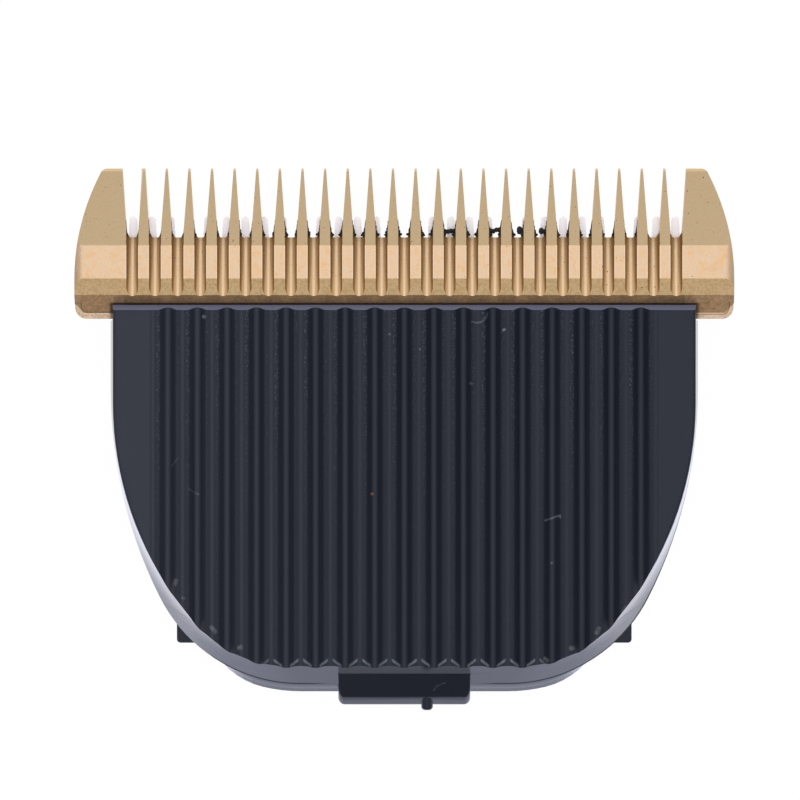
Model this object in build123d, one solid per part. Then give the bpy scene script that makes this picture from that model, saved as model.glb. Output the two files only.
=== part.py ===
from build123d import *
import os
from math import atan2, cos, degrees, pi, radians, sin, sqrt, tan

# Clip-on blade cartridge of a hair clipper, lying on its rear face. Lengths in millimetres, angles in degrees.
# X runs across the blade, Y from the hinge tongue to the tooth tips, Z up from the table to the ribbed plate.
# Distances called setback, and the lists named after them, are measured back from the line of the tooth tips.

# Comb blade: stamped steel, ground to four facets, with a flute behind every gap
comb_width = 46.0
comb_length = 10.5
comb_thickness = 1.6
front_bevel_length = 5.39
front_bevel_angle = 10.0
crest_length = 2.31
rear_bevel_length = 1.15
rear_bevel_angle = 10.0
back_slope_length = 1.23
back_slope_angle = 35.0
tip_bevel = 0.2
cheek_radius = 16.5
cheek_setback = 7.8
cheek_corner_radius = 0.5
rear_corner_radius = 0.8
edge_roll_width = 0.65
edge_roll_drop = 0.11
gap_count = 25
gap_pitch = 1.58
gap_depth = 4.81
gap_root_chamfer = 0.2
gap_root_rise = 0.35
tooth_tip_width = 0.14
tooth_root_width = 0.76
flute_bow = 0.22
flute_rise_angle = 12.0
flute_end_setback = 8.9
flute_end_depth = 0.05
hollow_setback = 6.2
hollow_length = 3.2
hollow_depth = 0.15
flange_thickness = 0.8
flange_side_margin = 0.15
flange_end_margin = 0.6
flange_corner_radius = 1.0

# Ceramic cutter: flat plate with finer teeth than the comb, sliding on the comb's back
cutter_setback = 3.34
cutter_length = 8.36
cutter_thickness = 1.5
cutter_tooth_count = 30
cutter_pitch = 1.3076
cutter_tooth_tip_width = 0.48
cutter_tooth_root_width = 0.74
cutter_tooth_length = 2.3
cutter_side_margin = 0.5
cutter_tip_chamfer = 0.15
cutter_tip_thickness = 0.7
cutter_bevel_length = 3.0
cutter_tail_width = 28.0
cutter_shoulder_setback = 9.0
cutter_shoulder_slope = 1.2
cutter_travel = 1.2  # to each side
sliding_gap = 0.03

# Cutter carrier: moulded drive block under the cutter
tray_setback = 5.3
tray_margin = 0.6
tray_thickness = 1.2
block_setback = 8.0
block_height = 3.0
block_tail = 1.9
fork_slot_width = 5.0
fork_slot_length = 7.0
fork_front_wall = 0.6
fork_slot_roof = 1.4
fork_prong_thickness = 2.2
fork_inset = 0.82
pin_diameter = 2.5
pin_spacing = 18.0
pin_setback = 9.6
pin_clearance = 0.05
pin_recess = 0.3
channel_clearance = 0.1
foot_rib_thickness = 0.5
foot_rib_length = 2.0

# Guide rails on the frame, which the carrier straddles
rail_gap = 0.5
rail_thickness = 1.6
rail_length = 4.0
rail_spacing = 12.4
rail_engagement = 1.4
cross_wall_clearance = 0.2

# Holder: ribbed cover in front, rear frame behind it, meeting at a flat parting plane
frame_depth = 5.5
cover_depth = 4.5
plate_over_flange = 1.05
plate_thickness = 1.5
cover_wall = 1.4
plate_width = 40.6
side_flare = 0.35
bottom_flare = 1.45
plate_setback = 9.9
plate_bottom_setback = 34.7
plate_straight_setback = 16.5
plate_side_radius = 23.0
plate_corner_radius = 8.5
rim_straight_setback = 15.5
rim_side_radius = 32.3
rim_corner_radius = 11.1
top_wall_draft = 23.0
mouth_clearance = 0.1
comb_clearance = 0.05
flange_clearance = 0.1
groove_count = 17
groove_pitch = 2.06
groove_floor_width = 0.32
groove_depth = 0.47
tongue_width = 9.27
tongue_reach = 1.45
tongue_ramp_length = 1.8
tongue_end_run = 0.5
tongue_end_height = 1.1
tongue_ramp_angle = 42.0
tongue_corner_radius = 0.45
gate_stub_diameter = 0.84
gate_stub_offset = 1.6
gate_stub_reach = 0.35
gate_stub_sides = 8

# Rear frame
frame_clearance = 0.7
frame_wall = 1.5
ear_width = 2.85
ear_rise = 3.5
tail_step = 0.6
tail_pocket_radius = 2.9
deck_length = 5.9
deck_thickness = 1.6
shoulder_inset = 1.2
shoulder_length = 4.4
shoulder_corner_radius = 1.2
post_width = 2.65
post_length = 3.6

# Tension spring: one wire with two coils, its feet under the carrier and its bridge under the cover
wire_diameter = 0.7
wire_sides = 6
coil_radius = 1.7
coil_pitch = 0.8
coil_turns = 1
coil_wall_gap = 3.55
arm_clearance = 0.6
foot_setback = 8.3
foot_length = 4.2
foot_gap = 0.05
wire_bend_radius = 0.9
bridge_gap = 0.8
leg_length = 3.3
bridge_rib_width = 12.0
bridge_rib_thickness = 1.0
spindle_clearance = 0.15
spindle_overhang = 0.4

# Frame screws: two self-tapping screws with flat pan heads, driven from the rear
screw_diameter = 1.6
screw_length = 4.2
screw_head_diameter = 3.2
screw_head_height = 1.1
screw_clearance = 0.05
screw_boss_diameter = 3.1
screw_boss_margin = 0.2
screw_head_gap = 0.3

# Heights that follow from the stack, table to plate
front_z = frame_depth + cover_depth
flange_seat_z = front_z - plate_over_flange
comb_back_z = flange_seat_z - flange_thickness
cutter_front_z = comb_back_z - sliding_gap
cutter_back_z = cutter_front_z - cutter_thickness
tray_back_z = cutter_back_z - tray_thickness
block_back_z = cutter_back_z - block_height
rail_top_z = block_back_z + rail_engagement
spring_z = tray_back_z - foot_gap - wire_diameter / 2
coil_z = spring_z - coil_radius
ceiling_z = front_z - plate_thickness
deck_back_z = frame_depth - deck_thickness
screw_tip_z = deck_back_z + screw_length

# Widths and setbacks that follow from one another, outside to inside and front to back
rim_width = plate_width + 2 * side_flare
shoulder_width = rim_width - 2 * shoulder_inset
screw_spacing = shoulder_width - screw_boss_diameter
frame_width = screw_spacing - screw_head_diameter - 2 * screw_head_gap
flange_width = frame_width + 2 * flange_side_margin
tail_width = frame_width - 2 * ear_width
coil_spacing = frame_width - 2 * (frame_wall + coil_wall_gap)
block_width = coil_spacing - 2 * (cutter_travel + arm_clearance)
cutter_width = (cutter_tooth_count - 1) * cutter_pitch + cutter_tooth_root_width + 2 * cutter_side_margin
cutter_end_setback = cutter_setback + cutter_length
frame_setback = cutter_end_setback + frame_clearance
shoulder_setback = frame_setback + shoulder_length / 2
flange_end_setback = shoulder_setback + post_length / 2 + flange_end_margin
rail_setback = flange_end_setback + rail_gap
block_end_setback = rail_setback + rail_thickness + block_tail
fork_slot_setback = block_setback + fork_front_wall
rim_bottom_setback = plate_bottom_setback + bottom_flare
tail_setback = rim_bottom_setback + tail_step
ear_setback = tail_setback - ear_rise
deck_setback = tail_setback - deck_length
bridge_setback = deck_setback - bridge_gap
coil_setback = bridge_setback - leg_length
overall_length = rim_bottom_setback + tongue_reach
tail_draft = degrees(atan2(bottom_flare, cover_depth))
tail_drop = tail_step / tan(radians(tail_draft))

tip_y = overall_length / 2
gap_root_width = gap_pitch - tooth_root_width
gap_tip_width = gap_pitch - tooth_tip_width
crest_end_setback = front_bevel_length + crest_length
rear_bevel_end_setback = crest_end_setback + rear_bevel_length
back_slope_end_setback = rear_bevel_end_setback + back_slope_length
rear_bevel_end_height = comb_thickness - rear_bevel_length * tan(radians(rear_bevel_angle))
mouth_setback = comb_length + mouth_clearance
wire_slope = coil_pitch / (2 * pi * coil_radius)


def behind(setback):
    """Y of a place that lies this far back from the tooth tips."""
    return tip_y - setback


def pair(spacing, setback):
    """Places, left and right of the middle, of two like features."""
    return [(side * spacing / 2, behind(setback)) for side in (-1, 1)]


def slab(x_range, setbacks, z_range):
    """Rectangular wall or cut between two limits on each axis."""
    corner = (x_range[0], behind(setbacks[1]), z_range[0])
    size = (x_range[1] - x_range[0], setbacks[1] - setbacks[0], z_range[1] - z_range[0])
    return Pos(*corner) * Box(*size, align=(Align.MIN, Align.MIN, Align.MIN))


def prism_across(profile, width):
    """Profile of (setback, height above the table) points, drawn across the blade in X."""
    points = [(0, behind(setback), z) for setback, z in profile]
    face = make_face(Polyline(*points, close=True))
    return extrude(face, width / 2, dir=(1, 0, 0), both=True)


def both_sides(shape):
    """A shape and its mirror image about the middle of the blade."""
    return shape + mirror(shape, about=Plane.YZ)


def comb_plan():
    """Plan of the comb: two curved cheeks and a row of tapered gaps with blunt roots."""
    half = comb_width / 2
    rise = cheek_setback
    cheek_top = half - cheek_radius + sqrt(cheek_radius**2 - rise**2)
    edges = [Line((-cheek_top, tip_y), (cheek_top, tip_y))]
    for side in (-1, 1):
        shoulder = (side * half, behind(cheek_setback))
        edges.append(TangentArc(shoulder, (side * cheek_top, tip_y), tangent=(0, 1)))
        edges.append(Line(shoulder, (side * half, behind(comb_length))))
    edges.append(Line((-half, behind(comb_length)), (half, behind(comb_length))))
    blank = make_face(edges)
    blank = fillet(blank.vertices().group_by(Axis.Y)[-1], cheek_corner_radius)
    blank = fillet(blank.vertices().group_by(Axis.Y)[0], rear_corner_radius)

    mouth_half = gap_tip_width / 2
    root_half = gap_root_width / 2
    floor_half = root_half - gap_root_chamfer
    gap_half = [
        (floor_half, behind(gap_depth)),
        (root_half, behind(gap_depth - gap_root_rise)),
        (mouth_half, tip_y),
    ]
    gap = closed_face(gap_half)
    return blank - [Pos(x, 0) * gap for x in gap_places()]


def gap_places():
    """X of the middle of each gap between the comb's teeth."""
    return [(index - (gap_count - 1) / 2) * gap_pitch for index in range(gap_count)]


def comb_flute():
    """Round-bottomed flute that rises from a gap's root and runs out at the end of the rear bevel."""
    half = gap_root_width / 2
    rise = radians(flute_rise_angle)
    run_out_z = comb_back_z + rear_bevel_end_height - flute_end_depth
    start = Plane(
        origin=(0, behind(flute_end_setback), run_out_z),
        x_dir=(1, 0, 0),
        z_dir=(0, -cos(rise), sin(rise)),
    )
    walls = Polyline((half, flute_bow), (half, comb_thickness), (-half, comb_thickness), (-half, flute_bow))
    section = make_face([ThreePointArc((-half, flute_bow), (0, 0), (half, flute_bow)), walls])
    length = (flute_end_setback - gap_depth + gap_root_rise) / cos(rise)
    face = start * section
    return extrude(face, -length) + extrude(face, half)


def comb_blade():
    tip_height = comb_thickness - front_bevel_length * tan(radians(front_bevel_angle))
    bevel_height = tip_height + tip_bevel * tan(radians(front_bevel_angle))
    slope_end_height = rear_bevel_end_height - back_slope_length * tan(radians(back_slope_angle))
    hollow_end = hollow_setback + hollow_length
    profile = [
        (0, 0),
        (0, tip_height - tip_bevel),
        (tip_bevel, bevel_height),
        (front_bevel_length, comb_thickness),
        (crest_end_setback, comb_thickness),
        (rear_bevel_end_setback, rear_bevel_end_height),
        (back_slope_end_setback, slope_end_height),
        (comb_length, 0),
        (hollow_end + hollow_depth, 0),
        (hollow_end, hollow_depth),
        (hollow_setback, hollow_depth),
        (hollow_setback - hollow_depth, 0),
    ]
    ground = prism_across([(setback, comb_back_z + height) for setback, height in profile], comb_width)
    stamped = extrude(Pos(0, 0, comb_back_z) * comb_plan(), comb_thickness)

    flat_half = comb_width / 2 - edge_roll_width
    roll_radius = (edge_roll_width**2 + edge_roll_drop**2) / (2 * edge_roll_drop)
    bow = roll_radius - sqrt(roll_radius**2 - edge_roll_width**2 / 4)
    crown_edges = [Line((-flat_half, comb_thickness), (flat_half, comb_thickness))]
    for side in (-1, 1):
        rim = (side * comb_width / 2, comb_thickness - edge_roll_drop)
        middle = (side * (flat_half + edge_roll_width / 2), comb_thickness - bow)
        crown_edges.append(ThreePointArc((side * flat_half, comb_thickness), middle, rim))
        crown_edges.append(Line(rim, (side * comb_width / 2, 0)))
    crown_edges.append(Line((-comb_width / 2, 0), (comb_width / 2, 0)))
    crown_plane = Plane(origin=(0, tip_y, comb_back_z), x_dir=(1, 0, 0), z_dir=(0, -1, 0))
    crowned = extrude(crown_plane * make_face(crown_edges), comb_length)

    # The steep end wall runs on round the rear corners as a flat at 45 degrees, upright above the wall's top
    corner = (comb_width / 2 - rear_corner_radius, behind(comb_length - rear_corner_radius), comb_back_z)
    flat_y = comb_length - back_slope_end_setback - rear_corner_radius
    wall_section = Polyline(
        (0, -rear_corner_radius, 0),
        (0, flat_y, slope_end_height),
        (0, flat_y, comb_thickness),
        (0, -comb_thickness, comb_thickness),
        (0, -comb_thickness, 0),
        close=True,
    )
    corner_cut = extrude(make_face(wall_section), comb_thickness, dir=(1, 0, 0), both=True)
    blade = stamped & ground & crowned - both_sides(Pos(*corner) * Rot(0, 0, 45) * corner_cut)
    blade -= [Pos(x, 0, 0) * comb_flute() for x in gap_places()]

    flange_front = rear_bevel_end_setback + hollow_depth
    flange_plan = Pos(0, behind((flange_front + flange_end_setback) / 2), comb_back_z) * RectangleRounded(
        flange_width, flange_end_setback - flange_front, flange_corner_radius
    )
    flange = extrude(flange_plan, flange_thickness)
    flange -= slab((-flange_width, flange_width), (0, hollow_end), (comb_back_z, front_z))
    return blade + flange


def shouldered_plan(width, front, tail_width, end):
    """Right half of the plan of the cutter and of the tray under it: wide in front, narrow at the tail."""
    return [
        (width / 2, behind(front)),
        (width / 2, behind(cutter_shoulder_setback)),
        (tail_width / 2, behind(cutter_shoulder_setback + cutter_shoulder_slope)),
        (tail_width / 2, behind(end)),
    ]


def closed_face(right_half):
    """Face whose outline is a run of points on the right and its mirror image on the left."""
    left_half = [(-x, y) for x, y in reversed(right_half)]
    return make_face(Polyline(*right_half, *left_half, close=True))


def ceramic_cutter():
    tip_half = cutter_tooth_tip_width / 2
    root_half = cutter_tooth_root_width / 2
    gullet_setback = cutter_setback + cutter_tooth_length
    root_y = behind(gullet_setback)
    teeth = []
    for index in range(cutter_tooth_count // 2):
        middle = (index + 0.5) * cutter_pitch
        teeth += [
            (middle - root_half, root_y),
            (middle - tip_half, behind(cutter_setback + cutter_tip_chamfer)),
            (middle - tip_half + cutter_tip_chamfer, behind(cutter_setback)),
            (middle + tip_half - cutter_tip_chamfer, behind(cutter_setback)),
            (middle + tip_half, behind(cutter_setback + cutter_tip_chamfer)),
            (middle + root_half, root_y),
        ]
    body = shouldered_plan(cutter_width, gullet_setback, cutter_tail_width, cutter_end_setback)
    plate = extrude(Pos(0, 0, cutter_back_z) * closed_face(teeth + body), cutter_thickness)

    bevel_end = cutter_setback + cutter_bevel_length
    ground = prism_across(
        [
            (cutter_setback, cutter_front_z),
            (cutter_setback, cutter_front_z - cutter_tip_thickness),
            (bevel_end, cutter_back_z),
            (cutter_end_setback, cutter_back_z),
            (cutter_end_setback, cutter_front_z),
        ],
        cutter_width,
    )
    hole = Cylinder(pin_diameter / 2 + pin_clearance, 4 * cutter_thickness)
    cutter = plate & ground
    return cutter - [Pos(x, y, cutter_back_z) * hole for x, y in pair(pin_spacing, pin_setback)]


def cutter_carrier():
    outline = shouldered_plan(
        cutter_width - 2 * tray_margin,
        tray_setback,
        cutter_tail_width - 2 * tray_margin,
        cutter_end_setback - tray_margin,
    )
    tray = extrude(Pos(0, 0, tray_back_z) * closed_face(outline), tray_thickness)

    half_block = block_width / 2
    block = slab((-half_block, half_block), (block_setback, block_end_setback), (block_back_z, cutter_back_z))
    block = fillet(block.edges().filter_by(Axis.Z), fork_prong_thickness / 2)
    half_fork = fork_slot_width / 2 + fork_prong_thickness
    fork_end = fork_slot_setback + fork_slot_length
    fork = slab((-half_fork, half_fork), (fork_slot_setback, fork_end), (fork_inset, block_back_z))
    slot = slab(
        (-fork_slot_width / 2, fork_slot_width / 2),
        (fork_slot_setback, fork_end),
        (fork_inset, cutter_back_z - fork_slot_roof),
    )
    channel = slab(
        (-block_width, block_width),
        (rail_setback - channel_clearance, rail_setback + rail_thickness + channel_clearance),
        (block_back_z, rail_top_z + channel_clearance),
    )
    carrier = tray + block + fork - slot - channel

    pin_top = cutter_front_z - pin_recess
    pin = Cylinder(pin_diameter / 2, pin_top - tray_back_z, align=(Align.CENTER, Align.CENTER, Align.MIN))
    carrier += [Pos(x, y, tray_back_z) * pin for x, y in pair(pin_spacing, pin_setback)]

    # A low rib on each side of the spring's feet, clear of the wire over the whole travel
    wire_half = wire_diameter / 2 + foot_gap
    rib_start = foot_corner_x() + wire_bend_radius + wire_half + cutter_travel
    for setback in (foot_setback - wire_half - foot_rib_thickness, foot_setback + wire_half):
        carrier += both_sides(
            slab(
                (rib_start, rib_start + foot_rib_length),
                (setback, setback + foot_rib_thickness),
                (spring_z, tray_back_z),
            )
        )
    return carrier


def shield(width, top, bottom, side_radius, corner_radius, straight_end):
    """Plan of the cover: straight top and sides, a large arc and a smaller one to the flat bottom."""
    half = width / 2
    large_middle = (half - side_radius, behind(straight_end))
    corner_y = behind(bottom) + corner_radius
    reach = side_radius - corner_radius
    small_middle = (large_middle[0] + sqrt(reach**2 - (large_middle[1] - corner_y) ** 2), corner_y)
    toward = (Vector(*small_middle) - Vector(*large_middle)).normalized()
    joint = Vector(*large_middle) + toward * side_radius
    edges = [Line((-half, behind(top)), (half, behind(top)))]
    for side in (-1, 1):
        side_end = (side * half, behind(straight_end))
        edges.append(Line((side * half, behind(top)), side_end))
        edges.append(TangentArc(side_end, (side * joint.X, joint.Y), tangent=(0, -1)))
        bottom_end = (side * small_middle[0], behind(bottom))
        edges.append(TangentArc(bottom_end, (side * joint.X, joint.Y), tangent=(side, 0)))
    edges.append(Line((-small_middle[0], behind(bottom)), (small_middle[0], behind(bottom))))
    return make_face(edges)


def rib_groove():
    """One groove of the thumb plate: a flat floor between flanks at 45 degrees."""
    floor_half = groove_floor_width / 2
    brim_half = floor_half + 2 * groove_depth
    face = closed_face([(floor_half, -groove_depth), (brim_half, groove_depth)])
    start = Plane(origin=(0, tip_y, front_z), x_dir=(1, 0, 0), z_dir=(0, -1, 0))
    return extrude(start * face, overall_length)


def hinge_tongue():
    """Ramped tongue on the lower wall, with the stub of the moulding gate on its end."""
    end = overall_length
    ramp_foot = end - tongue_end_run
    ramp_top = ramp_foot - tongue_ramp_length
    ramp_foot_z = frame_depth + tongue_end_height
    ramp_top_z = ramp_foot_z + tongue_ramp_length * tan(radians(tongue_ramp_angle))
    root = plate_bottom_setback - cover_wall
    foot = [(root, frame_depth), (end, frame_depth), (ramp_foot, ramp_foot_z)]
    tongue = prism_across(foot + [(ramp_top, ramp_top_z), (root, ramp_top_z)], tongue_width)
    end_corners = tongue.faces().sort_by(Axis.Y)[0].edges().filter_by(Axis.X, reverse=True)
    tongue = fillet(end_corners, tongue_corner_radius)
    stub_radius = gate_stub_diameter / 2
    stub_z = ramp_foot_z - stub_radius
    stub_length = tongue_ramp_length + tongue_end_run + gate_stub_reach
    stub_section = RegularPolygon(stub_radius, gate_stub_sides)
    stub = extrude(Plane(origin=(0, behind(ramp_top), 0), z_dir=(0, -1, 0)) * stub_section, stub_length)
    return tongue + Pos(gate_stub_offset, 0, stub_z) * stub


def ribbed_cover():
    top_flare = cover_depth * tan(radians(top_wall_draft))
    front = shield(
        plate_width,
        plate_setback,
        plate_bottom_setback,
        plate_side_radius,
        plate_corner_radius,
        plate_straight_setback,
    )
    rim = shield(
        rim_width,
        plate_setback - top_flare,
        rim_bottom_setback,
        rim_side_radius,
        rim_corner_radius,
        rim_straight_setback,
    )
    cover = loft([Pos(0, 0, frame_depth) * rim, Pos(0, 0, front_z) * front], ruled=True)
    inside = shield(
        plate_width - 2 * cover_wall,
        plate_setback - top_flare,
        plate_bottom_setback - cover_wall,
        plate_side_radius - cover_wall,
        plate_corner_radius - cover_wall,
        plate_straight_setback,
    )
    cover -= extrude(Pos(0, 0, frame_depth) * inside, ceiling_z - frame_depth)

    # Mouth over the comb: its roof follows the comb's back slope, then lies on the flange
    slope = tan(radians(back_slope_angle))
    seat_setback = rear_bevel_end_setback + (rear_bevel_end_height - flange_thickness) / slope
    cover -= prism_across(
        [
            (0, frame_depth),
            (0, flange_seat_z + seat_setback * slope + comb_clearance),
            (seat_setback + comb_clearance / slope, flange_seat_z),
            (mouth_setback, flange_seat_z),
            (mouth_setback, frame_depth),
        ],
        rim_width + 2 * top_flare,
    )
    flange_half = flange_width / 2 + flange_clearance
    cover -= slab(
        (-flange_half, flange_half),
        (plate_setback, flange_end_setback + flange_clearance),
        (frame_depth, flange_seat_z),
    )
    groove_middle = (groove_count - 1) / 2
    cover -= [Pos((index - groove_middle) * groove_pitch, 0, 0) * rib_groove() for index in range(groove_count)]

    upright = (Align.CENTER, Align.CENTER, Align.MIN)
    boss = Cylinder(screw_boss_diameter / 2, ceiling_z - frame_depth, align=upright)
    pilot = Cylinder(
        screw_diameter / 2 + screw_clearance, screw_tip_z + screw_boss_margin - frame_depth, align=upright
    )
    cover += [Pos(x, y, frame_depth) * boss for x, y in pair(screw_spacing, shoulder_setback)]
    cover -= [Pos(x, y, frame_depth) * pilot for x, y in pair(screw_spacing, shoulder_setback)]
    cover += slab(
        (-bridge_rib_width / 2, bridge_rib_width / 2),
        (bridge_setback - bridge_rib_thickness / 2, bridge_setback + bridge_rib_thickness / 2),
        (spring_z + wire_diameter / 2 + foot_gap, ceiling_z),
    )
    return cover + hinge_tongue()


def frame_strip(width, end):
    """Rectangular plan in the middle of the frame, from its front edge to this setback."""
    return Pos(0, behind((frame_setback + end) / 2)) * Rectangle(width, end - frame_setback)


def tail_plan(step):
    """Plan of the frame's lower end, which stands out past the cover's rim by this step."""
    wider_rim = shield(
        rim_width + 2 * step,
        plate_setback,
        rim_bottom_setback + step,
        rim_side_radius + step,
        rim_corner_radius + step,
        rim_straight_setback,
    )
    return wider_rim & frame_strip(tail_width, rim_bottom_setback + step)


def rear_frame():
    frame = extrude(frame_strip(frame_width, ear_setback), frame_depth)
    frame += extrude(tail_plan(tail_step), frame_depth - tail_drop)
    # The tail's upper edge leans in to meet the cover's rim, with the draft of the cover's lower wall
    foot = Pos(0, 0, frame_depth - tail_drop) * tail_plan(tail_step)
    frame += loft([foot, Pos(0, 0, frame_depth) * tail_plan(0)], ruled=True)
    inner_half = frame_width / 2 - frame_wall
    frame -= slab((-inner_half, inner_half), (frame_setback, deck_setback), (0, frame_depth))
    pocket = frame_strip(tail_width - 2 * frame_wall, tail_setback - frame_wall)
    pocket = fillet(pocket.vertices().group_by(Axis.Y)[0], tail_pocket_radius)
    frame -= extrude(pocket, deck_back_z)

    shoulder_end = frame_setback + shoulder_length
    shoulder_face = Pos(0, behind((frame_setback + shoulder_end) / 2)) * RectangleRounded(
        shoulder_width, shoulder_length, shoulder_corner_radius
    )
    shoulders = extrude(Pos(0, 0, deck_back_z) * shoulder_face, deck_thickness)
    frame += shoulders - slab((-inner_half, inner_half), (frame_setback, shoulder_end), (0, front_z))
    post_setbacks = (shoulder_setback - post_length / 2, shoulder_setback + post_length / 2)
    post = slab((frame_width / 2 - post_width, frame_width / 2), post_setbacks, (deck_back_z, comb_back_z))
    frame += both_sides(post)

    rail_setbacks = (rail_setback, rail_setback + rail_thickness)
    frame += slab((-inner_half, inner_half), rail_setbacks, (0, block_back_z - cross_wall_clearance))
    rail_start = (rail_spacing - rail_length) / 2
    frame += both_sides(slab((rail_start, rail_start + rail_length), rail_setbacks, (0, rail_top_z)))

    spindle_end = coil_spacing / 2 - coil_turns * coil_pitch - wire_diameter / 2 - spindle_overhang
    spindle_radius = coil_radius - wire_diameter / 2 - spindle_clearance
    spindle_plane = Plane(origin=(spindle_end, behind(coil_setback), coil_z), z_dir=(1, 0, 0))
    frame += both_sides(extrude(spindle_plane * Circle(spindle_radius), inner_half - spindle_end))

    hole = Cylinder(screw_diameter / 2 + screw_clearance, 4 * deck_thickness)
    return frame - [Pos(x, y, frame_depth) * hole for x, y in pair(screw_spacing, shoulder_setback)]


def foot_corner_x():
    """X of the corner between an arm of the spring and its foot."""
    return coil_spacing / 2 + (coil_setback - foot_setback) * wire_slope


def tension_spring():
    coil_x = coil_spacing / 2
    corner_x = foot_corner_x()
    arm = FilletPolyline(
        (corner_x + foot_length, behind(foot_setback), spring_z),
        (corner_x, behind(foot_setback), spring_z),
        (coil_x, behind(coil_setback), spring_z),
        radius=wire_bend_radius,
    )
    coil_plane = Plane(origin=(coil_x, behind(coil_setback), coil_z), x_dir=(0, 0, 1), z_dir=(-1, 0, 0))
    coil = coil_plane * Helix(coil_pitch, coil_turns * coil_pitch, coil_radius, lefthand=True)
    leg_x = coil_x - coil_turns * coil_pitch
    leg_corner_x = leg_x - (bridge_setback - coil_setback) * wire_slope
    leg = FilletPolyline(
        (leg_x, behind(coil_setback), spring_z),
        (leg_corner_x, behind(bridge_setback), spring_z),
        (0, behind(bridge_setback), spring_z),
        radius=wire_bend_radius,
    )
    path = Wire([*arm.edges(), *coil.edges(), *leg.edges()])
    section = Plane(origin=arm @ 0, z_dir=(-1, 0, 0)) * RegularPolygon(wire_diameter / 2, wire_sides)
    return both_sides(sweep(section, path=path))


def frame_screws():
    """Two equal screws; the heads sit on the rear side of the frame's shoulders."""
    upward = (Align.CENTER, Align.CENTER, Align.MIN)
    downward = (Align.CENTER, Align.CENTER, Align.MAX)
    head = Cylinder(screw_head_diameter / 2, screw_head_height, align=downward)
    screw = head + Cylinder(screw_diameter / 2, screw_length, align=upward)
    return Compound([Pos(x, y, deck_back_z) * screw for x, y in pair(screw_spacing, shoulder_setback)])


os.makedirs("parts", exist_ok=True)
for piece in (
    comb_blade,
    ceramic_cutter,
    cutter_carrier,
    ribbed_cover,
    rear_frame,
    tension_spring,
    frame_screws,
):
    export_step(piece(), f"parts/{piece.__name__}.step")
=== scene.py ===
from math import cos, radians, sin
from random import Random

import bmesh
import bpy
from mathutils import Matrix, Vector


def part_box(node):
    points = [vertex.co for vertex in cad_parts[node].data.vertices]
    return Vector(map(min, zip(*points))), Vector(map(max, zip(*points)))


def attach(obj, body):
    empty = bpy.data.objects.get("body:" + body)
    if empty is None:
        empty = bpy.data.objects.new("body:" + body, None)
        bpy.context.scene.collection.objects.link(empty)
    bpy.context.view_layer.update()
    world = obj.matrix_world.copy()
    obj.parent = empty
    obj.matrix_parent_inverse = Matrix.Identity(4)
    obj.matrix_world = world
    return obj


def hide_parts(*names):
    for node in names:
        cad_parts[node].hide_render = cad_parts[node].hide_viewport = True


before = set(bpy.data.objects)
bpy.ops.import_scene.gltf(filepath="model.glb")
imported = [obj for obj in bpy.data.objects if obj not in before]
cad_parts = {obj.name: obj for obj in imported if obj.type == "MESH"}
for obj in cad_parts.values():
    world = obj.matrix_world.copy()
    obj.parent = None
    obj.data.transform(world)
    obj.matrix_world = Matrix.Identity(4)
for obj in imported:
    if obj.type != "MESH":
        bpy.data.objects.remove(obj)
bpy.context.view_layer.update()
mm = 0.001

# Ribbed cover: the front half of the holder, one black plastic moulding.
# The ribbed thumb plate has a matt spark-eroded grain; the flared wall and the tongue are smoother.
# The mould leaves every edge a little round, and the ends of the ribs carry painted highlights.


def solid_copy(node):
    """Merged copy of a solid, with each flat face in one piece."""
    form = bmesh.new()
    form.from_mesh(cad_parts[node].data)
    bmesh.ops.remove_doubles(form, verts=form.verts, dist=0.0001 * mm)
    bmesh.ops.dissolve_limit(form, angle_limit=radians(0.4), verts=form.verts, edges=form.edges)
    return form


def corners(form, sharper_than=30):
    """Edges where two faces meet at more than this angle, in degrees."""
    limit = radians(sharper_than)
    return [edge for edge in form.edges if edge.is_manifold and edge.calc_face_angle() > limit]


def round_off(form, edges, width, segments=3):
    """Rounds these edges and returns the new faces."""
    rounded = bmesh.ops.bevel(
        form,
        geom=edges,
        offset=width,
        offset_type="OFFSET",
        affect="EDGES",
        segments=segments,
        profile=0.5,
        material=-1,
        clamp_overlap=False,
    )
    return rounded["faces"]


def add_piece(name, form):
    """Smooth-shaded object of this form, at the origin."""
    for face in form.faces:
        face.smooth = True
    mesh = bpy.data.meshes.new(name)
    form.to_mesh(mesh)
    form.free()
    piece = bpy.data.objects.new(name, mesh)
    bpy.context.scene.collection.objects.link(piece)
    return piece


def keep_flats(piece, only_verts=None):
    """Shades the flat faces flat and the rounded edges round, everywhere or at these vertices only."""
    modifier = piece.modifiers.new("flat faces stay flat", "WEIGHTED_NORMAL")
    modifier.keep_sharp = True
    if only_verts:
        piece.vertex_groups.new(name="flats").add(only_verts, 1.0, "REPLACE")
        modifier.vertex_group = "flats"


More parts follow.
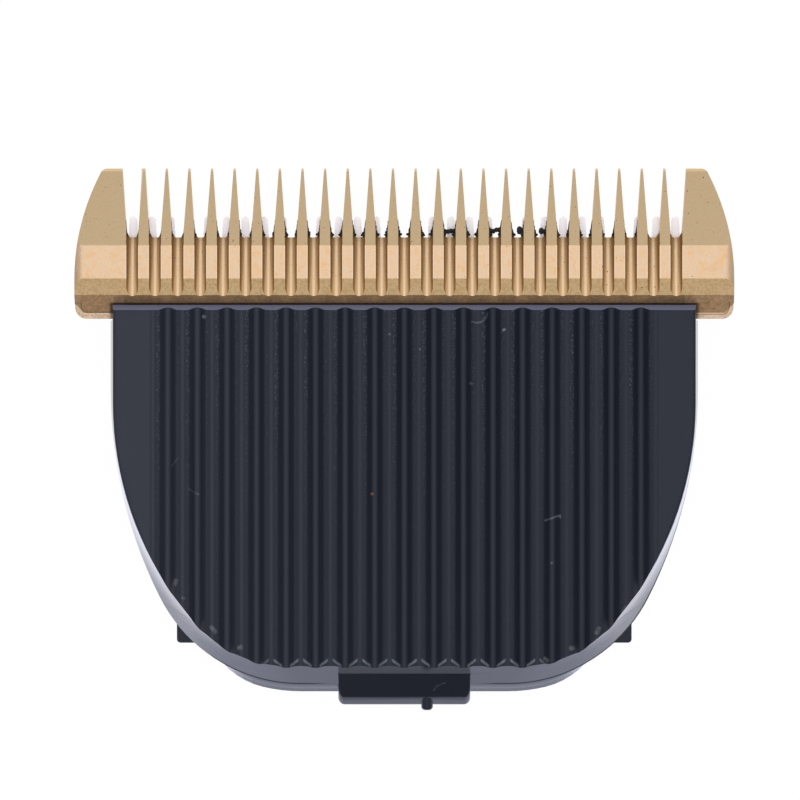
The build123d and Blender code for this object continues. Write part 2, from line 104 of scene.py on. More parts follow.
class Value:
    """A socket of a material's node tree; arithmetic on it adds Math nodes."""

    def __init__(self, tree, socket):
        self.tree = tree
        self.socket = socket

    def node(self, kind, settings=None, output=0, **inputs):
        """Adds any node: its settings first, then a value or link for each input, by name or as i0."""
        node = self.tree.nodes.new(kind)
        for setting, value in (settings or {}).items():
            if setting == "stops":
                set_stops(node.color_ramp, value)
            else:
                setattr(node, setting, value)
        for label, value in inputs.items():
            number = label[1:]
            socket = node.inputs[int(number) if number.isdigit() else label.replace("_", " ")]
            if isinstance(value, Value):
                self.tree.links.new(value.socket, socket)
            else:
                socket.default_value = value
        return Value(self.tree, node.outputs[output])

    def math(self, operation, *terms):
        inputs = {f"i{place}": term for place, term in enumerate(terms)}
        return self.node("ShaderNodeMath", {"operation": operation}, **inputs)

    def __add__(self, other):
        return self.math("ADD", self, other)

    def __sub__(self, other):
        return self.math("SUBTRACT", self, other)

    def __mul__(self, other):
        return self.math("MULTIPLY", self, other)

    def __truediv__(self, other):
        return self.math("DIVIDE", self, other)

    def __radd__(self, other):
        return self.math("ADD", other, self)

    def __rsub__(self, other):
        return self.math("SUBTRACT", other, self)

    def __rmul__(self, other):
        return self.math("MULTIPLY", other, self)

    def __rtruediv__(self, other):
        return self.math("DIVIDE", other, self)

    def __abs__(self):
        return self.math("ABSOLUTE", self)

    def above(self, start, end):
        """0 below start, 1 above end, with a smooth step between."""
        settings = {"interpolation_type": "SMOOTHSTEP"}
        return self.node("ShaderNodeMapRange", settings, Value=self, From_Min=start, From_Max=end)

    def between(self, start, end, soft):
        """1 between two limits, falling to 0 over a soft edge outside them."""
        return self.above(start - soft, start) * (1 - self.above(end, end + soft))

    def axis(self, index):
        """X, Y or Z of this vector."""
        return self.node("ShaderNodeSeparateXYZ", output=index, Vector=self)

    def noise(self, size, detail=3.0, roughness=0.55, distortion=0.0):
        """Noise with features about this size, in metres, at this vector."""
        return self.node(
            "ShaderNodeTexNoise",
            Vector=self,
            Scale=1 / size,
            Detail=detail,
            Roughness=roughness,
            Distortion=distortion,
        )

    def mix(self, low, high):
        """Colour between two others, with this value as the share of the second."""
        return self.node("ShaderNodeMix", {"data_type": "RGBA"}, output=2, i0=self, i6=low, i7=high)

    def stretched(self, scale):
        """This vector, with each axis scaled."""
        return self.node("ShaderNodeMapping", Vector=self, Scale=scale)


def set_stops(ramp, stops):
    while len(ramp.elements) < len(stops):
        ramp.elements.new(0.5)
    for element, (place, colour) in zip(ramp.elements, stops):
        element.position = place
        element.color = colour


def new_material(name, **constants):
    """A material with one Principled shader; returns it, its shader and its object coordinates."""
    material = bpy.data.materials.new(name)
    material.use_nodes = True
    tree = material.node_tree
    shader = tree.nodes["Principled BSDF"]
    for label, value in constants.items():
        shader.inputs[label.replace("_", " ")].default_value = value
    coordinates = tree.nodes.new("ShaderNodeTexCoord").outputs["Object"]
    return material, shader, Value(tree, coordinates)


def feed(shader, **links):
    for label, value in links.items():
        value.tree.links.new(value.socket, shader.inputs[label.replace("_", " ")])


def bumped(height, distance, strength):
    return height.node("ShaderNodeBump", Height=height, Distance=distance, Strength=strength)


def surface_normal(place):
    return place.node("ShaderNodeNewGeometry", output="Normal")


def finish(piece, body, material, node=None):
    """Gives a piece its material and body, and hides the solid that it stands in for."""
    piece.data.materials.clear()
    piece.data.materials.append(material)
    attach(piece, body)
    if node:
        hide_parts(node)


def middle(edge):
    return (edge.verts[0].co + edge.verts[1].co) / 2


def is_along_y(edge):
    return abs(edge.verts[0].co.y - edge.verts[1].co.y) > 0.98 * edge.calc_length()


def at_rim(edge):
    """True where the top of the plate meets a wall."""
    plate = any(face.normal.z > 0.6 for face in edge.link_faces)
    wall = any(abs(face.normal.z) < 0.5 for face in edge.link_faces)
    return plate and wall and middle(edge).z > cover_high.z - 0.6 * mm


close = 0.01 * mm
rib_pitch = 2.06 * mm
last_rib = 17.6 * mm
groove_depth = 0.47 * mm
rib_round = 0.2 * mm
groove_round = 0.13 * mm
front_rim_start = 8.4 * mm
plate_bottom = -15.9 * mm
wall_top = 9.45 * mm
tongue_root = -16.6 * mm
tongue_half = 4.7 * mm
tongue_top = 8.22 * mm
cover_low, cover_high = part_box("ribbed_cover")
form = solid_copy("ribbed_cover")
for edge_z, width in ((cover_high.z, rib_round), (cover_high.z - groove_depth, groove_round)):
    rib_edges = [
        edge
        for edge in corners(form)
        if is_along_y(edge)
        and edge.calc_length() > 5 * mm
        and abs(middle(edge).x) < last_rib
        and abs(middle(edge).z - edge_z) < close
    ]
    round_off(form, rib_edges, width, segments=4)
margin_rims = [
    edge
    for edge in corners(form)
    if at_rim(edge)
    and middle(edge).y < front_rim_start
    and min(abs(vert.co.x) for vert in edge.verts) > last_rib
]
round_off(form, margin_rims, 0.2 * mm, segments=6)
front_rim = [edge for edge in corners(form) if at_rim(edge) and middle(edge).y > front_rim_start]
round_off(form, front_rim, 0.08 * mm)
stub_end = [edge for edge in corners(form) if middle(edge).y < cover_low.y + close]
round_off(form, stub_end, 0.24 * mm, segments=4)

# The tongue's ledge is merged first, so that its foot can be rounded as one edge.
ledge = [
    vert
    for vert in form.verts
    if abs(vert.co.z - tongue_top) < close and abs(vert.co.x) < tongue_half
]
bmesh.ops.remove_doubles(form, verts=ledge, dist=0.04 * mm)
tongue_foot = [edge for edge in form.edges if all(vert in ledge for vert in edge.verts)]
blend = round_off(form, tongue_foot, 0.3 * mm, segments=4)
for edge in {edge for face in blend for edge in face.edges}:
    edge.smooth = all(face in blend for face in edge.link_faces)
tongue = [
    edge
    for edge in corners(form)
    if middle(edge).y < tongue_root
    and abs(middle(edge).x) < tongue_half
    and middle(edge).z < tongue_top + 0.08 * mm
]
round_off(form, tongue, 0.06 * mm)

# A cut just below the plate keeps the shading of its rim off the wall.
everything = form.verts[:] + form.edges[:] + form.faces[:]
bmesh.ops.bisect_plane(form, geom=everything, plane_co=(0, 0, wall_top), plane_no=(0, 0, 1))
for edge in corners(form):
    edge.smooth = False
form.verts.index_update()
plate_verts = [
    vert.index for vert in form.verts if all(face.normal.z > 0.6 for face in vert.link_faces)
]
cover = add_piece("ribbed_cover_finished", form)
keep_flats(cover, plate_verts)


def streak(place, start, end, width, strength):
    """This strength on a line between two points of the plan, in millimetres, and 0 beside it."""
    run = Vector(end) - Vector(start)
    from_x = place.axis(0) / mm - start[0]
    from_y = place.axis(1) / mm - start[1]
    along = (from_x * run.x + from_y * run.y) / run.length_squared
    along = along.math("MINIMUM", along.math("MAXIMUM", along, 0.0), 1.0)
    off_x = from_x - along * run.x
    off_y = from_y - along * run.y
    distance_squared = off_x * off_x + off_y * off_y
    return strength - strength * distance_squared.above(0.0, (0.8 * width) ** 2)


plastic, shader, place = new_material(
    "black ribbed plastic", Specular_Tint=(0.82, 0.88, 1.0, 1.0), IOR=1.52
)
normal = surface_normal(place)
upward = normal.axis(2).above(0.45, 0.7) * place.axis(2).above(8.9 * mm, 9.2 * mm)
forward = normal.axis(1).above(0.5, 0.75)
across = abs(place.axis(0))
within_ribs = 1 - across.above(last_rib, last_rib + 0.2 * mm)
from_groove = place.math("PINGPONG", across, rib_pitch / 2)
off_groove = place.math("WRAP", place.axis(0), rib_pitch / 2, -rib_pitch / 2)
left_of_groove = 1 - off_groove.above(-0.1 * mm, 0.1 * mm)
shoulder = from_groove.between(0.6 * mm, 0.72 * mm, 0.12 * mm) * within_ribs
shoulder = shoulder * (0.45 + 0.55 * left_of_groove)
# Dark bands along the tops of the ribs: painted shade.
rib_top_shade = from_groove.between(0.77 * mm, 0.88 * mm, 0.1 * mm) * within_ribs * upward
grain = place.noise(0.09 * mm, detail=2.0)
coarse = place.noise(0.12 * mm, detail=3.0, roughness=0.7)
cloud = place.noise(2.5 * mm)
nearer_comb = place.axis(1).above(-9 * mm, 9 * mm)
# Pale flecks of the grain on the rib shoulders, stronger on one side of each groove and nearer the
# comb: partly the grain, partly painted glints.
shoulder_glints = coarse.above(0.52, 0.66) * shoulder * (0.2 + 0.8 * nearer_comb) * upward
# The forward-facing strip at the top of the plate is painted pale blue-grey: a painted reflection on
# its rounded edge.
top_edge_sheen = forward * place.axis(2).above(8.6 * mm, 8.9 * mm)
# Pale ticks on the flanks at the lower ends of the ribs: painted highlights on their rounded ends.
rib_end = place.axis(1) - plate_bottom - 0.75 * from_groove + 0.22 * mm
rib_end_highlight = rib_end.between(-0.04 * mm, 0.04 * mm, 0.12 * mm)
rib_end_highlight = rib_end_highlight * from_groove.between(0.36 * mm, 0.78 * mm, 0.15 * mm)
rib_end_highlight = rib_end_highlight * (1 - across.above(9 * mm, 10.5 * mm)) * upward * coarse.above(0.2, 0.55)

# Scratches and specks, and on the lower arcs (the last eight) painted highlights at the rib ends:
# start, end and width in millimetres, and strength.
marks_and_highlights = [
    ((9.82, -5.76), (10.86, -5.41), 0.11, 0.5),
    ((10.86, -5.41), (10.86, -5.55), 0.1, 0.5),
    ((-13.98, 8.43), (-13.92, 8.44), 0.2, 0.9),
    ((-16.2, -1.95), (-15.75, -1.4), 0.06, 0.3),
    ((-15.1, -3.5), (-14.55, -3.85), 0.06, 0.25),
    ((-14.55, -3.85), (-14.35, -3.95), 0.12, 0.3),
    ((-1.05, 7.23), (-1.0, 7.2), 0.12, 0.5),
    ((1.08, 6.18), (1.1, 6.15), 0.1, 0.5),
    ((4.6, 3.8), (4.7, 3.75), 0.13, 0.3),
    ((10.25, -8.74), (10.31, -8.72), 0.14, 0.4),
    ((2.05, -17.75), (2.3, -17.4), 0.07, 0.25),
    ((2.3, -17.4), (2.9, -17.15), 0.07, 0.2),
    ((4.7, 8.08), (5.05, 8.0), 0.12, 0.3),
    ((5.05, 8.0), (5.4, 8.07), 0.12, 0.35),
    ((5.4, 8.07), (5.7, 8.35), 0.12, 0.35),
    ((5.7, 8.35), (5.78, 8.65), 0.12, 0.25),
    ((6.9, 7.5), (6.96, 7.54), 0.16, 0.7),
    ((-15.98, -10.2), (-15.9, -9.95), 0.24, 0.4),
    ((-15.45, -11.15), (-15.38, -11.18), 0.18, 0.3),
    ((-13.42, -13.2), (-13.2, -13.5), 0.26, 0.4),
    ((-11.47, -14.62), (-11.4, -14.6), 0.28, 0.45),
    ((13.58, -13.28), (13.42, -13.58), 0.26, 0.35),
    ((11.62, -14.66), (11.7, -14.64), 0.28, 0.4),
    ((9.78, -15.36), (9.98, -15.52), 0.2, 0.35),
    ((15.38, -11.75), (15.2, -12.1), 0.18, 0.2),
]
marked_and_lit = streak(place, *marks_and_highlights[0])
for mark in marks_and_highlights[1:]:
    marked_and_lit = marked_and_lit.math("MAXIMUM", marked_and_lit, streak(place, *mark))
patchiness = place.noise(0.3 * mm, detail=3.0, roughness=0.7).above(0.36, 0.58)
marked_and_lit = marked_and_lit * (0.4 + 0.6 * patchiness) * normal.axis(2).above(0.1, 0.3)
rust_speck = streak(place, (-2.27, -3.92), (-2.23, -3.9), 0.15, 0.6)
lit_side = 1 - place.axis(0).above(-20 * mm, 8 * mm)
base = cloud.mix((0.0055, 0.0072, 0.0145, 1), (0.008, 0.0105, 0.019, 1))
base = (0.5 * lit_side).mix(base, (0.021, 0.0235, 0.036, 1))
base = (0.85 * rib_top_shade).mix(base, (0.001, 0.002, 0.01, 1))
base = shoulder_glints.mix(base, (0.072, 0.077, 0.088, 1))
base = rib_end_highlight.mix(base, (0.105, 0.125, 0.135, 1))
base = top_edge_sheen.mix(base, coarse.mix((0.14, 0.155, 0.235, 1), (0.22, 0.235, 0.35, 1)))
# Pale scratches and specks, with painted highlights at the rib ends on the lower arcs.
base = marked_and_lit.mix(base, (0.17, 0.18, 0.19, 1))
base = rust_speck.mix(base, (0.32, 0.1, 0.04, 1))
lower_wall = (1 - place.axis(1).above(-15.6 * mm, -15.2 * mm)) * across.above(4.8 * mm, 7 * mm)
right_wall = place.axis(0).above(11 * mm, 13 * mm)
wall_foot = 1 - place.axis(2).above(5.7 * mm, 5.85 * mm)
seam = wall_foot * place.math("MAXIMUM", lower_wall, right_wall)
feed(
    shader,
    Base_Color=base,
    Roughness=0.14 + upward * (0.2 + 0.14 * grain) + 0.35 * top_edge_sheen + 0.6 * seam,
    Normal=bumped((grain + 2 * coarse * shoulder) * upward, 0.012 * mm, 0.6),
)
finish(cover, "holder", plastic, "ribbed_cover")

# Comb blade: stamped from steel strip, ground to four facets, slotted, then coated gold.
# The grinding leaves the facets crisp, and the coating is mottled on the crest. The flutes carry
# painted shade at their sides and at their ends by the gaps, and a painted highlight down the middle.
# Its flange is clamped between the cover and the rear frame.
comb_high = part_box("comb_blade")[1]
gap_count = 25
gap_pitch = 1.58 * mm
worn_tooth_x = -(gap_count - 2) / 2 * gap_pitch
form = solid_copy("comb_blade")
for edge in corners(form, 8):
    edge.smooth = False
for vert in form.verts:
    if vert.co.y > comb_high.y - close and abs(vert.co.x - worn_tooth_x) < 0.2 * mm:
        vert.co.x = worn_tooth_x - 0.05 * mm + 2 * (vert.co.x - worn_tooth_x)
comb = add_piece("comb_blade_finished", form)

front_bevel_end = 5.39 * mm
crest_end = 7.7 * mm
flute_start = 4.4 * mm
flute_end = 8.95 * mm
flute_half = 0.41 * mm
teeth_reach = 19.5 * mm
lip_corner = 22.2 * mm
lip_bend = 9.7 * mm
lip_start = 0.38 * mm
lip_thinner = 0.13 * mm
cover_edge = 9.34 * mm
cover_reach = 20.4 * mm
gold, shader, place = new_material("gold coated ground steel")
normal = surface_normal(place)
setback = comb_high.y - place.axis(1)
crest = setback.between(front_bevel_end, crest_end, 0.02 * mm) * normal.axis(2).above(0.9, 0.97)
across = abs(place.axis(0))
from_gap = place.math("PINGPONG", across, gap_pitch / 2)
inner = 1 - across.above(teeth_reach, teeth_reach + 0.1 * mm)
in_gap = setback.between(flute_start, flute_end, 0.05 * mm) * inner
in_gap = in_gap * (1 - from_gap.above(0.42 * mm, 0.45 * mm))
flank = abs(normal.axis(0)).above(0.2, 0.5)
flute = in_gap * flank.math("MAXIMUM", flank, normal.axis(1).above(0.06, 0.12))
flute_side_shade = from_gap.above(0.2 * mm, flute_half)
flute_lip_highlight = from_gap.between(0.42 * mm, 0.46 * mm, 0.02 * mm) * (1 - flute) * inner
back = 0 - normal.axis(1)
rear_bevel = back.between(0.12, 0.3, 0.04)
back_slope = back.between(0.45, 0.68, 0.06)
into_corner = place.math("MAXIMUM", across - lip_corner, 0.0)
into_lip = place.math("MAXIMUM", setback - lip_bend, 0.0)
past_slope = place.math("SQRT", into_corner * into_corner + into_lip * into_lip)
past_slope = past_slope - lip_thinner * place.axis(0).above(0.0, 1 * mm)
rearmost = setback.above(9.3 * mm, 9.4 * mm)
end_wall = past_slope.above(lip_start, lip_start + 0.02 * mm) * rearmost
lip_edge_shade = past_slope.between(lip_start - 0.06 * mm, lip_start, 0.02 * mm) * rearmost
contact_shadow = setback.above(cover_edge, cover_edge + 0.1 * mm)
contact_shadow = contact_shadow * (1 - across.above(cover_reach, cover_reach + 0.3 * mm))
grain = place.noise(0.07 * mm, detail=2.0)
patches = place.noise(0.5 * mm, detail=4.0, roughness=0.65).above(0.5, 0.66) * crest
mottle = place.noise(0.22 * mm, detail=3.0)
streaks = place.stretched((1.0, 0.2, 1.0)).noise(0.12 * mm, detail=3.0)
specks = place.noise(0.16 * mm, detail=1.0).above(0.74, 0.77)
base = mottle.mix((0.77, 0.555, 0.32, 1), (0.86, 0.635, 0.39, 1))
base = crest.mix(base, streaks.mix((0.80, 0.56, 0.355, 1), (0.88, 0.65, 0.44, 1)))
base = (0.75 * patches).mix(base, (0.87, 0.53, 0.26, 1))
# A thin pale rim on the crest beside each flute: a painted highlight.
base = (crest * flute_lip_highlight * 0.6).mix(base, (0.95, 0.76, 0.55, 1))
bevel_gold = mottle.above(0.4, 0.62).mix((0.74, 0.52, 0.29, 1), (0.66, 0.43, 0.205, 1))
base = rear_bevel.mix(base, bevel_gold)
slope_gold = mottle.above(0.35, 0.65).mix((0.86, 0.555, 0.31, 1), (0.66, 0.41, 0.215, 1))
base = back_slope.mix(base, slope_gold)
# The back slope is darker in the middle, beside the cover: painted shade.
base = (0.32 * back_slope * inner).mix(base, (0.3, 0.18, 0.06, 1))
lip_gold = mottle.above(0.45, 0.6).mix((0.80, 0.585, 0.375, 1), (0.62, 0.44, 0.265, 1))
base = end_wall.mix(base, lip_gold)
# A dark line along the top edge of the lip: painted shade.
base = (0.7 * lip_edge_shade).mix(base, (0.25, 0.15, 0.07, 1))
# Where the comb goes under the cover's edge it is painted nearly black: painted shadow.
base = (0.8 * contact_shadow).mix(base, (0.03, 0.02, 0.01, 1))
# Painted shade on the flute sides and at their ends by the gaps, and a painted highlight down their
# middle.
flute_shade_and_highlight = flute_side_shade.mix((0.75, 0.47, 0.225, 1), (0.30, 0.15, 0.045, 1))
flute_shade_and_highlight = (1 - from_gap.above(0.03 * mm, 0.15 * mm)).mix(flute_shade_and_highlight, (0.95, 0.71, 0.46, 1))
flute_shade_and_highlight = (0.45 - 0.45 * setback.above(4.7 * mm, 5.8 * mm)).mix(flute_shade_and_highlight, (0.3, 0.17, 0.075, 1))
base = (0.95 * flute).mix(base, flute_shade_and_highlight)
base = (0.85 * specks).mix(base, (0.05, 0.04, 0.03, 1))
feed(
    shader,
    Base_Color=base,
    Metallic=1 - 0.55 * flute,
    Roughness=0.2 + (0.1 * grain + 0.06 * mottle) * (1 - flute) + 0.18 * back_slope,
    Normal=bumped((grain * (1 + back_slope) + 0.6 * mottle) * (1 - flute), 0.006 * mm, 0.45),
)
finish(comb, "holder", gold, "comb_blade")

# Dark lumps on the teeth beside the roots of the gaps.
# They are heaviest right of the middle, and are fixed to the comb rather than to the cutter that
# slides below it.
comb_back = 8.15 * mm

# A gap in millimetres: its depth, its half width at the mouth and what it loses down to the root.
gap_depth = 4.46
gap_mouth_half = 0.72
gap_taper = 0.31

# Lumps across some of the gaps: number of the gap, shift and size in millimetres.
bridge = ((-0.3, 0.16), (-0.1, 0.15), (0.1, 0.15), (0.3, 0.16))
lumps = [(index, shift, size) for index in (14, 16) for shift, size in bridge]
lumps += [(17, 0.15, 0.23), (17, 0.33, 0.16), (18, 0.08, 0.19), (18, 0.28, 0.15)]
chance = Random(11)


def cake(form, spot, size):
    """One lump with an uneven skin."""
    matrix = Matrix.Translation(spot) @ Matrix.Diagonal((*size, 1.0))
    lump = bmesh.ops.create_icosphere(form, subdivisions=2, radius=1.0, matrix=matrix)["verts"]
    for vert in lump:
        vert.co = Vector(spot) + (vert.co - Vector(spot)) * chance.uniform(0.85, 1.15)


form = bmesh.new()
for index in range(gap_count):
    gap_x = (index - (gap_count - 1) / 2) * gap_pitch
    heavy = max(0.0, 1 - ((index - 13) / 11) ** 2)
    for side in (-1, 1):
        for step in range(8):
            thickness = (0.04 + 0.003 * step**2) * (0.2 + heavy) * chance.uniform(0.7, 1.3)
            setback = 3.75 + 0.125 * step + chance.uniform(-0.03, 0.03)
            root_round = 1.3 * max(0.0, setback - gap_depth) ** 2
            wall_x = (gap_mouth_half - gap_taper * setback / gap_depth - root_round) * mm
            if index < gap_count - 2:
                spot = (gap_x + side * wall_x, comb_high.y - setback * mm, comb_back + 0.75 * mm)
                cake(form, spot, (thickness * mm, 0.13 * mm, 0.4 * mm))
for index, shift, size in lumps:
    gap_x = (index - (gap_count - 1) / 2) * gap_pitch
    spot_y = comb_high.y - chance.uniform(4.28, 4.44) * mm
    spot = (gap_x + shift * mm, spot_y, comb_back + 0.6 * mm)
    cake(form, spot, (size * mm, 1.2 * size * mm, 0.3 * mm))
bmesh.ops.recalc_face_normals(form, faces=form.faces)
root_lumps = add_piece("dark_root_lumps", form)
lump_black, shader, place = new_material("dark lump material", IOR=1.45)
lump_texture = place.noise(0.05 * mm, detail=4.0)
feed(
    shader,
    Base_Color=lump_texture.mix((0.006, 0.006, 0.007, 1), (0.035, 0.032, 0.03, 1)),
    Roughness=0.45 + 0.4 * lump_texture,
    Normal=bumped(lump_texture, 0.02 * mm, 0.8),
)
finish(root_lumps, "holder", lump_black)

# Ceramic cutter: pressed and fired white ceramic, ground flat in front, pushed on the carrier's pins.
# Its teeth have round tips and show as pale ovals in the gaps of the comb.
# The ceramic lets a little light through, which a faint glow stands for.
form = solid_copy("ceramic_cutter")
cutter_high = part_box("ceramic_cutter")[1]
tooth_tips = [
    edge
    for edge in form.edges
    if abs(edge.verts[0].co.x - edge.verts[1].co.x) < 0.001 * mm
    and abs(edge.verts[0].co.y - edge.verts[1].co.y) < 0.001 * mm
    and edge.verts[0].co.y > cutter_high.y - 0.2 * mm
]
round_off(form, tooth_tips, 0.06 * mm)
for edge in corners(form):
    edge.smooth = False
cutter = add_piece("ceramic_cutter_finished", form)
keep_flats(cutter)
ceramic, shader, place = new_material("white fired ceramic", IOR=1.6, Emission_Strength=0.14)
pores = place.noise(0.06 * mm, detail=2.0)
feed(
    shader,
    Base_Color=place.noise(0.8 * mm).mix((0.90, 0.86, 0.91, 1), (0.95, 0.91, 0.95, 1)),
    Emission_Color=place.noise(0.8 * mm).mix((0.94, 0.90, 0.95, 1), (1.0, 0.97, 1.0, 1)),
    Roughness=0.3 + 0.15 * pores,
    Normal=bumped(pores, 0.004 * mm, 0.4),
)
finish(cutter, "cutter", ceramic, "ceramic_cutter")

# Cutter carrier: slippery black plastic block, with a fork for the drive pin and pins for the cutter.
# It is moulded in one, and slides along the rails of the rear frame.
form = solid_copy("cutter_carrier")
round_off(form, corners(form, 20), 0.1 * mm)
carrier = add_piece("cutter_carrier_finished", form)
keep_flats(carrier)
slider, shader, place = new_material("slippery black plastic", IOR=1.48)
flow = place.stretched((1.0, 0.25, 1.0)).noise(1.2 * mm, detail=4.0, distortion=0.6)
skin = place.noise(0.12 * mm, detail=2.0)
feed(
    shader,
    Base_Color=flow.mix((0.011, 0.011, 0.012, 1), (0.019, 0.019, 0.021, 1)),
    Roughness=0.26 + 0.14 * flow,
    Normal=bumped(skin, 0.006 * mm, 0.3),
)
finish(carrier, "cutter", slider, "cutter_carrier")

# Rear frame: second black moulding, screwed on the cover and joined to it along the rim.
# Its rear face and ears keep the rough grain of the mould.
# The real cover's wall is too uneven to mirror the ears, so reflections leave the frame out.
form = solid_copy("rear_frame")
ear_corners = [
    edge
    for edge in corners(form, 20)
    if abs(edge.verts[0].co.z - edge.verts[1].co.z) > 3 * mm
    and abs(middle(edge).x) > 15.9 * mm
    and middle(edge).y < -14 * mm
]
round_off(form, ear_corners, 0.25 * mm, segments=4)

# The tail's wall leans in towards both ends, until it meets the cover's rim.
tail_bend = 10 * mm
tail_end = 13.15 * mm
tail_wall = -16.2 * mm
tail_lean = 0.55 * mm
for vert in form.verts:
    past_bend = (abs(vert.co.x) - tail_bend) / (tail_end - tail_bend)
    if 0 < past_bend < 1.01 and vert.co.y < tail_wall and vert.co.z < 5 * mm:
        inward = Vector((-0.46 if vert.co.x > 0 else 0.46, 0.89, 0))
        vert.co += tail_lean * past_bend**2 * inward
round_off(form, corners(form, 20), 0.06 * mm)
rear = add_piece("rear_frame_finished", form)
keep_flats(rear)
moulded, shader, place = new_material(
    "black frame plastic", Specular_Tint=(0.82, 0.88, 1.0, 1.0), IOR=1.52
)
normal = surface_normal(place)
level = abs(normal.axis(2)).above(0.6, 0.9)
pits = place.noise(0.14 * mm, detail=3.0, roughness=0.7)
cloud = place.noise(3 * mm)
base = cloud.mix((0.009, 0.011, 0.018, 1), (0.013, 0.015, 0.024, 1))
feed(
    shader,
    Base_Color=(pits.above(0.6, 0.72) * level).mix(base, (0.04, 0.042, 0.05, 1)),
    Roughness=0.14 + level * (0.25 + 0.2 * pits),
    Normal=bumped(pits * level, 0.03 * mm, 0.7),
)
finish(rear, "holder", moulded, "rear_frame")
rear.visible_glossy = False

# Tension spring: one length of drawn steel wire, bent cold, with a coil on each spindle of the frame.
# Its feet press the carrier and the cutter against the comb.
form = solid_copy("tension_spring")
round_off(form, corners(form, 25), 0.09 * mm)
spring = add_piece("tension_spring_finished", form)
wire, shader, place = new_material("drawn steel wire", Metallic=1.0)
drawn = place.noise(0.05 * mm, detail=2.0)
tarnish = place.noise(1.1 * mm, detail=4.0)
feed(
    shader,
    Base_Color=tarnish.mix((0.56, 0.56, 0.57, 1), (0.44, 0.41, 0.37, 1)),
    Roughness=0.24 + 0.16 * drawn,
    Normal=bumped(drawn, 0.004 * mm, 0.4),
)
finish(spring, "holder", wire, "tension_spring")

# Frame screws: two self-tapping screws with domed heads and cross recesses, zinc plated.
# They are driven from the rear, through the frame's shoulders, into bosses of the cover.
screw_low, screw_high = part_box("frame_screws")
head_radius = 1.6 * mm
head_height = 1.1 * mm
shank_radius = 0.8 * mm
recess_arm = 0.24 * mm
recess_reach = 0.85 * mm
recess_depth = 0.7 * mm
dome_rings = 7
dome_start = recess_reach * 1.3
dome_height = 0.6 * head_height
screw_y = (screw_low.y + screw_high.y) / 2
screw_length = screw_high.z - screw_low.z


def screw(form, middle_x):
    """Head and shank of one screw, head down, with a cross recess pressed into the head."""
    grid = bmesh.ops.create_grid(form, x_segments=3, y_segments=3, size=1.0)["verts"]
    for vert in grid:
        vert.co.x *= recess_reach if abs(vert.co.x) > 0.5 else 3 * recess_arm
        vert.co.y *= recess_reach if abs(vert.co.y) > 0.5 else 3 * recess_arm
    faces = {face for vert in grid for face in vert.link_faces}
    cross = [
        face for face in faces if min(abs(c) for c in face.calc_center_median().xy) < recess_arm / 2
    ]
    rim = [edge for face in faces for edge in face.edges if edge.is_boundary]
    pressed = bmesh.ops.extrude_face_region(form, geom=cross)["geom"]
    floor_verts = [item for item in pressed if isinstance(item, bmesh.types.BMVert)]
    bmesh.ops.delete(form, geom=cross, context="FACES_ONLY")
    bmesh.ops.translate(form, verts=floor_verts, vec=(0, 0, recess_depth))
    bmesh.ops.scale(form, verts=floor_verts, vec=(0.6, 0.6, 1.0))
    verts = set(grid) | set(floor_verts)
    turns = [radians(90) * (ring + 1) / dome_rings for ring in range(dome_rings)]
    profile = [
        (dome_start + (head_radius - dome_start) * sin(turn), dome_height * (1 - cos(turn)))
        for turn in turns
    ]
    profile += [(head_radius, head_height), (shank_radius, head_height), (shank_radius, screw_length)]
    for reach, height in profile:
        grown = bmesh.ops.extrude_edge_only(form, edges=rim)["geom"]
        rim = [item for item in grown if isinstance(item, bmesh.types.BMEdge)]
        ring_verts = [item for item in grown if isinstance(item, bmesh.types.BMVert)]
        for vert in ring_verts:
            outward = Vector((vert.co.x, vert.co.y, 0)).normalized()
            vert.co = outward * reach + Vector((0, 0, height))
        verts |= set(ring_verts)
    bmesh.ops.edgeloop_fill(form, edges=rim)
    bmesh.ops.translate(form, verts=list(verts), vec=(middle_x, screw_y, screw_low.z))


form = bmesh.new()
for side in (-1, 1):
    screw(form, side * (screw_high.x - head_radius))
bmesh.ops.recalc_face_normals(form, faces=form.faces)
for edge in corners(form, 35):
    edge.smooth = False
screws = add_piece("frame_screws_finished", form)
plating, shader, place = new_material("zinc plated steel", Metallic=1.0)
bloom = place.noise(0.6 * mm, detail=5.0)
feed(
    shader,
    Base_Color=bloom.mix((0.66, 0.66, 0.67, 1), (0.5, 0.51, 0.55, 1)),
    Roughness=0.22 + 0.2 * bloom,
    Normal=bumped(place.noise(0.08 * mm), 0.004 * mm, 0.4),
)
finish(screws, "holder", plating, "frame_screws")

# Floor: plain white, seen as pure white, and dimmed a little where the part shades it.
# What the part mirrors of it is cooler beside the holder and dimmer below its lower end.
form = bmesh.new()
bmesh.ops.create_grid(form, x_segments=1, y_segments=1, size=3.0)
floor = add_piece("floor", form)
floor_paint = bpy.data.materials.new("white floor")
floor_paint.use_nodes = True
tree = floor_paint.node_tree
shade = tree.nodes["Principled BSDF"]
shade.inputs["Base Color"].default_value = (0.8, 0.8, 0.8, 1)
shade.inputs["Roughness"].default_value = 1.0
shade.inputs["Specular IOR Level"].default_value = 0.0
path = tree.nodes.new("ShaderNodeLightPath")
seen = Value(tree, path.outputs["Is Camera Ray"])
mirrored = Value(tree, path.outputs["Is Glossy Ray"])
passed = Value(tree, path.outputs["Is Transmission Ray"])
place = Value(tree, tree.nodes.new("ShaderNodeTexCoord").outputs["Object"])
beside_holder = place.axis(1).above(-19.5 * mm, -14 * mm)
below_holder = 1 - place.axis(1).above(-26 * mm, -23 * mm)
beside_comb = place.axis(1).above(-4 * mm, 4 * mm)
reflected = beside_holder.mix((0.57, 0.59, 0.745, 1), (1.35, 1.36, 1.54, 1))
reflected = below_holder.mix(reflected, (1.0, 1.02, 1.18, 1))
reflected = beside_comb.mix(reflected, (0.98, 0.98, 0.96, 1))
light = mirrored.mix((1.03, 1.03, 1.03, 1), reflected)
glow = seen.node("ShaderNodeEmission", Color=light, Strength=1.0)
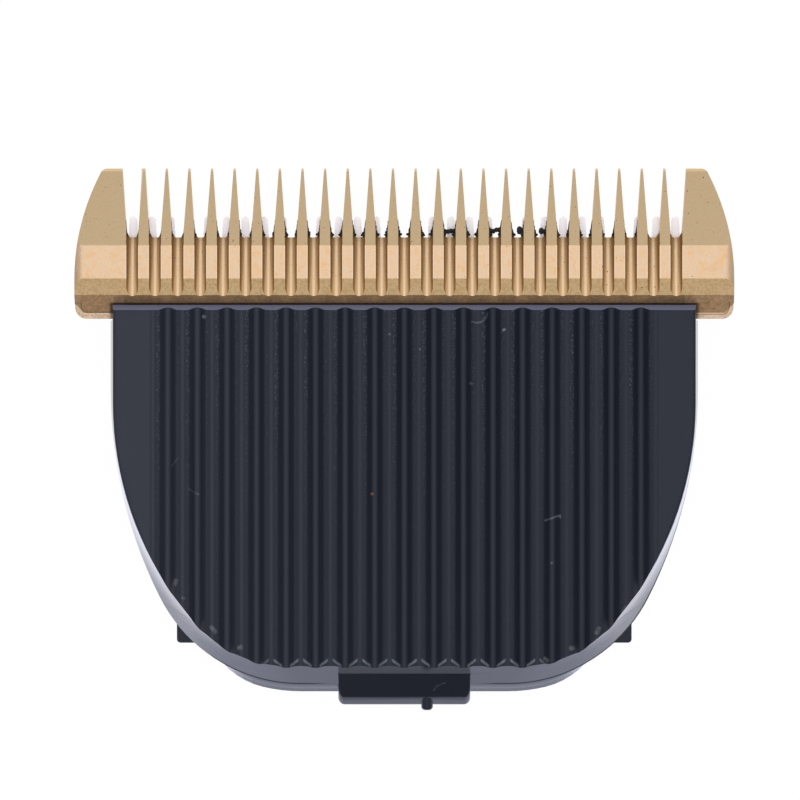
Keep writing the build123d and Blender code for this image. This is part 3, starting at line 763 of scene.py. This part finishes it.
direct = seen.math("MAXIMUM", seen.math("MAXIMUM", seen, mirrored), passed)
shaded = Value(tree, shade.outputs[0])
mixed = seen.node("ShaderNodeMixShader", i0=0.93 * direct, i1=shaded, i2=glow)
tree.links.new(mixed.socket, tree.nodes["Material Output"].inputs["Surface"])
floor.data.materials.append(floor_paint)

# Light: a small soft box straight above and a tent that darkens towards the horizon.
# A wide fill, which no reflection shows, lifts the matt surfaces.
world = bpy.data.worlds.new("tent")
bpy.context.scene.world = world
world.use_nodes = True
tree = world.node_tree
path = tree.nodes.new("ShaderNodeLightPath")
seen = Value(tree, path.outputs["Is Camera Ray"])
direction = Value(tree, tree.nodes.new("ShaderNodeTexCoord").outputs["Generated"])

# Brightness of the tent at each angle from straight up, in degrees.
steepness = ((0, 1.1), (13, 1.05), (19, 0.66), (32, 0.52), (60, 0.43), (76, 0.25), (90, 0.08))
stops = [
    (cos(radians(angle)), (light, light, 1.01 * light, 1)) for angle, light in reversed(steepness)
]
height = direction.axis(2)
sky = height.node("ShaderNodeValToRGB", {"stops": stops}, Fac=height)
backdrop = seen.mix(sky, (1, 1, 1, 1))
tree.links.new(backdrop.socket, tree.nodes["Background"].inputs["Color"])

fill_data = bpy.data.lights.new("fill", "AREA")
fill_data.shape = "DISK"
fill_data.size = 0.8
fill_data.energy = 4.2
fill = bpy.data.objects.new("fill", fill_data)
fill.location = (0, 0, 0.8)
fill.visible_glossy = False
bpy.context.scene.collection.objects.link(fill)

# Camera: straight above the part, with the tooth tips in the upper part of the picture.
camera_height = 450 * mm
picture_width = 55.8 * mm
focus_height = 9.3 * mm
tips_above_middle = 16.17 * mm
aim_x = -0.3 * mm
camera_data = bpy.data.cameras.new("camera")
camera_data.sensor_fit = "HORIZONTAL"
camera_data.lens = camera_data.sensor_width * (camera_height - focus_height) / picture_width
camera = bpy.data.objects.new("camera", camera_data)
camera.location = (aim_x, comb_high.y - tips_above_middle, camera_height)
bpy.context.scene.collection.objects.link(camera)
bpy.context.scene.camera = camera
bpy.context.scene.view_settings.view_transform = "Standard"
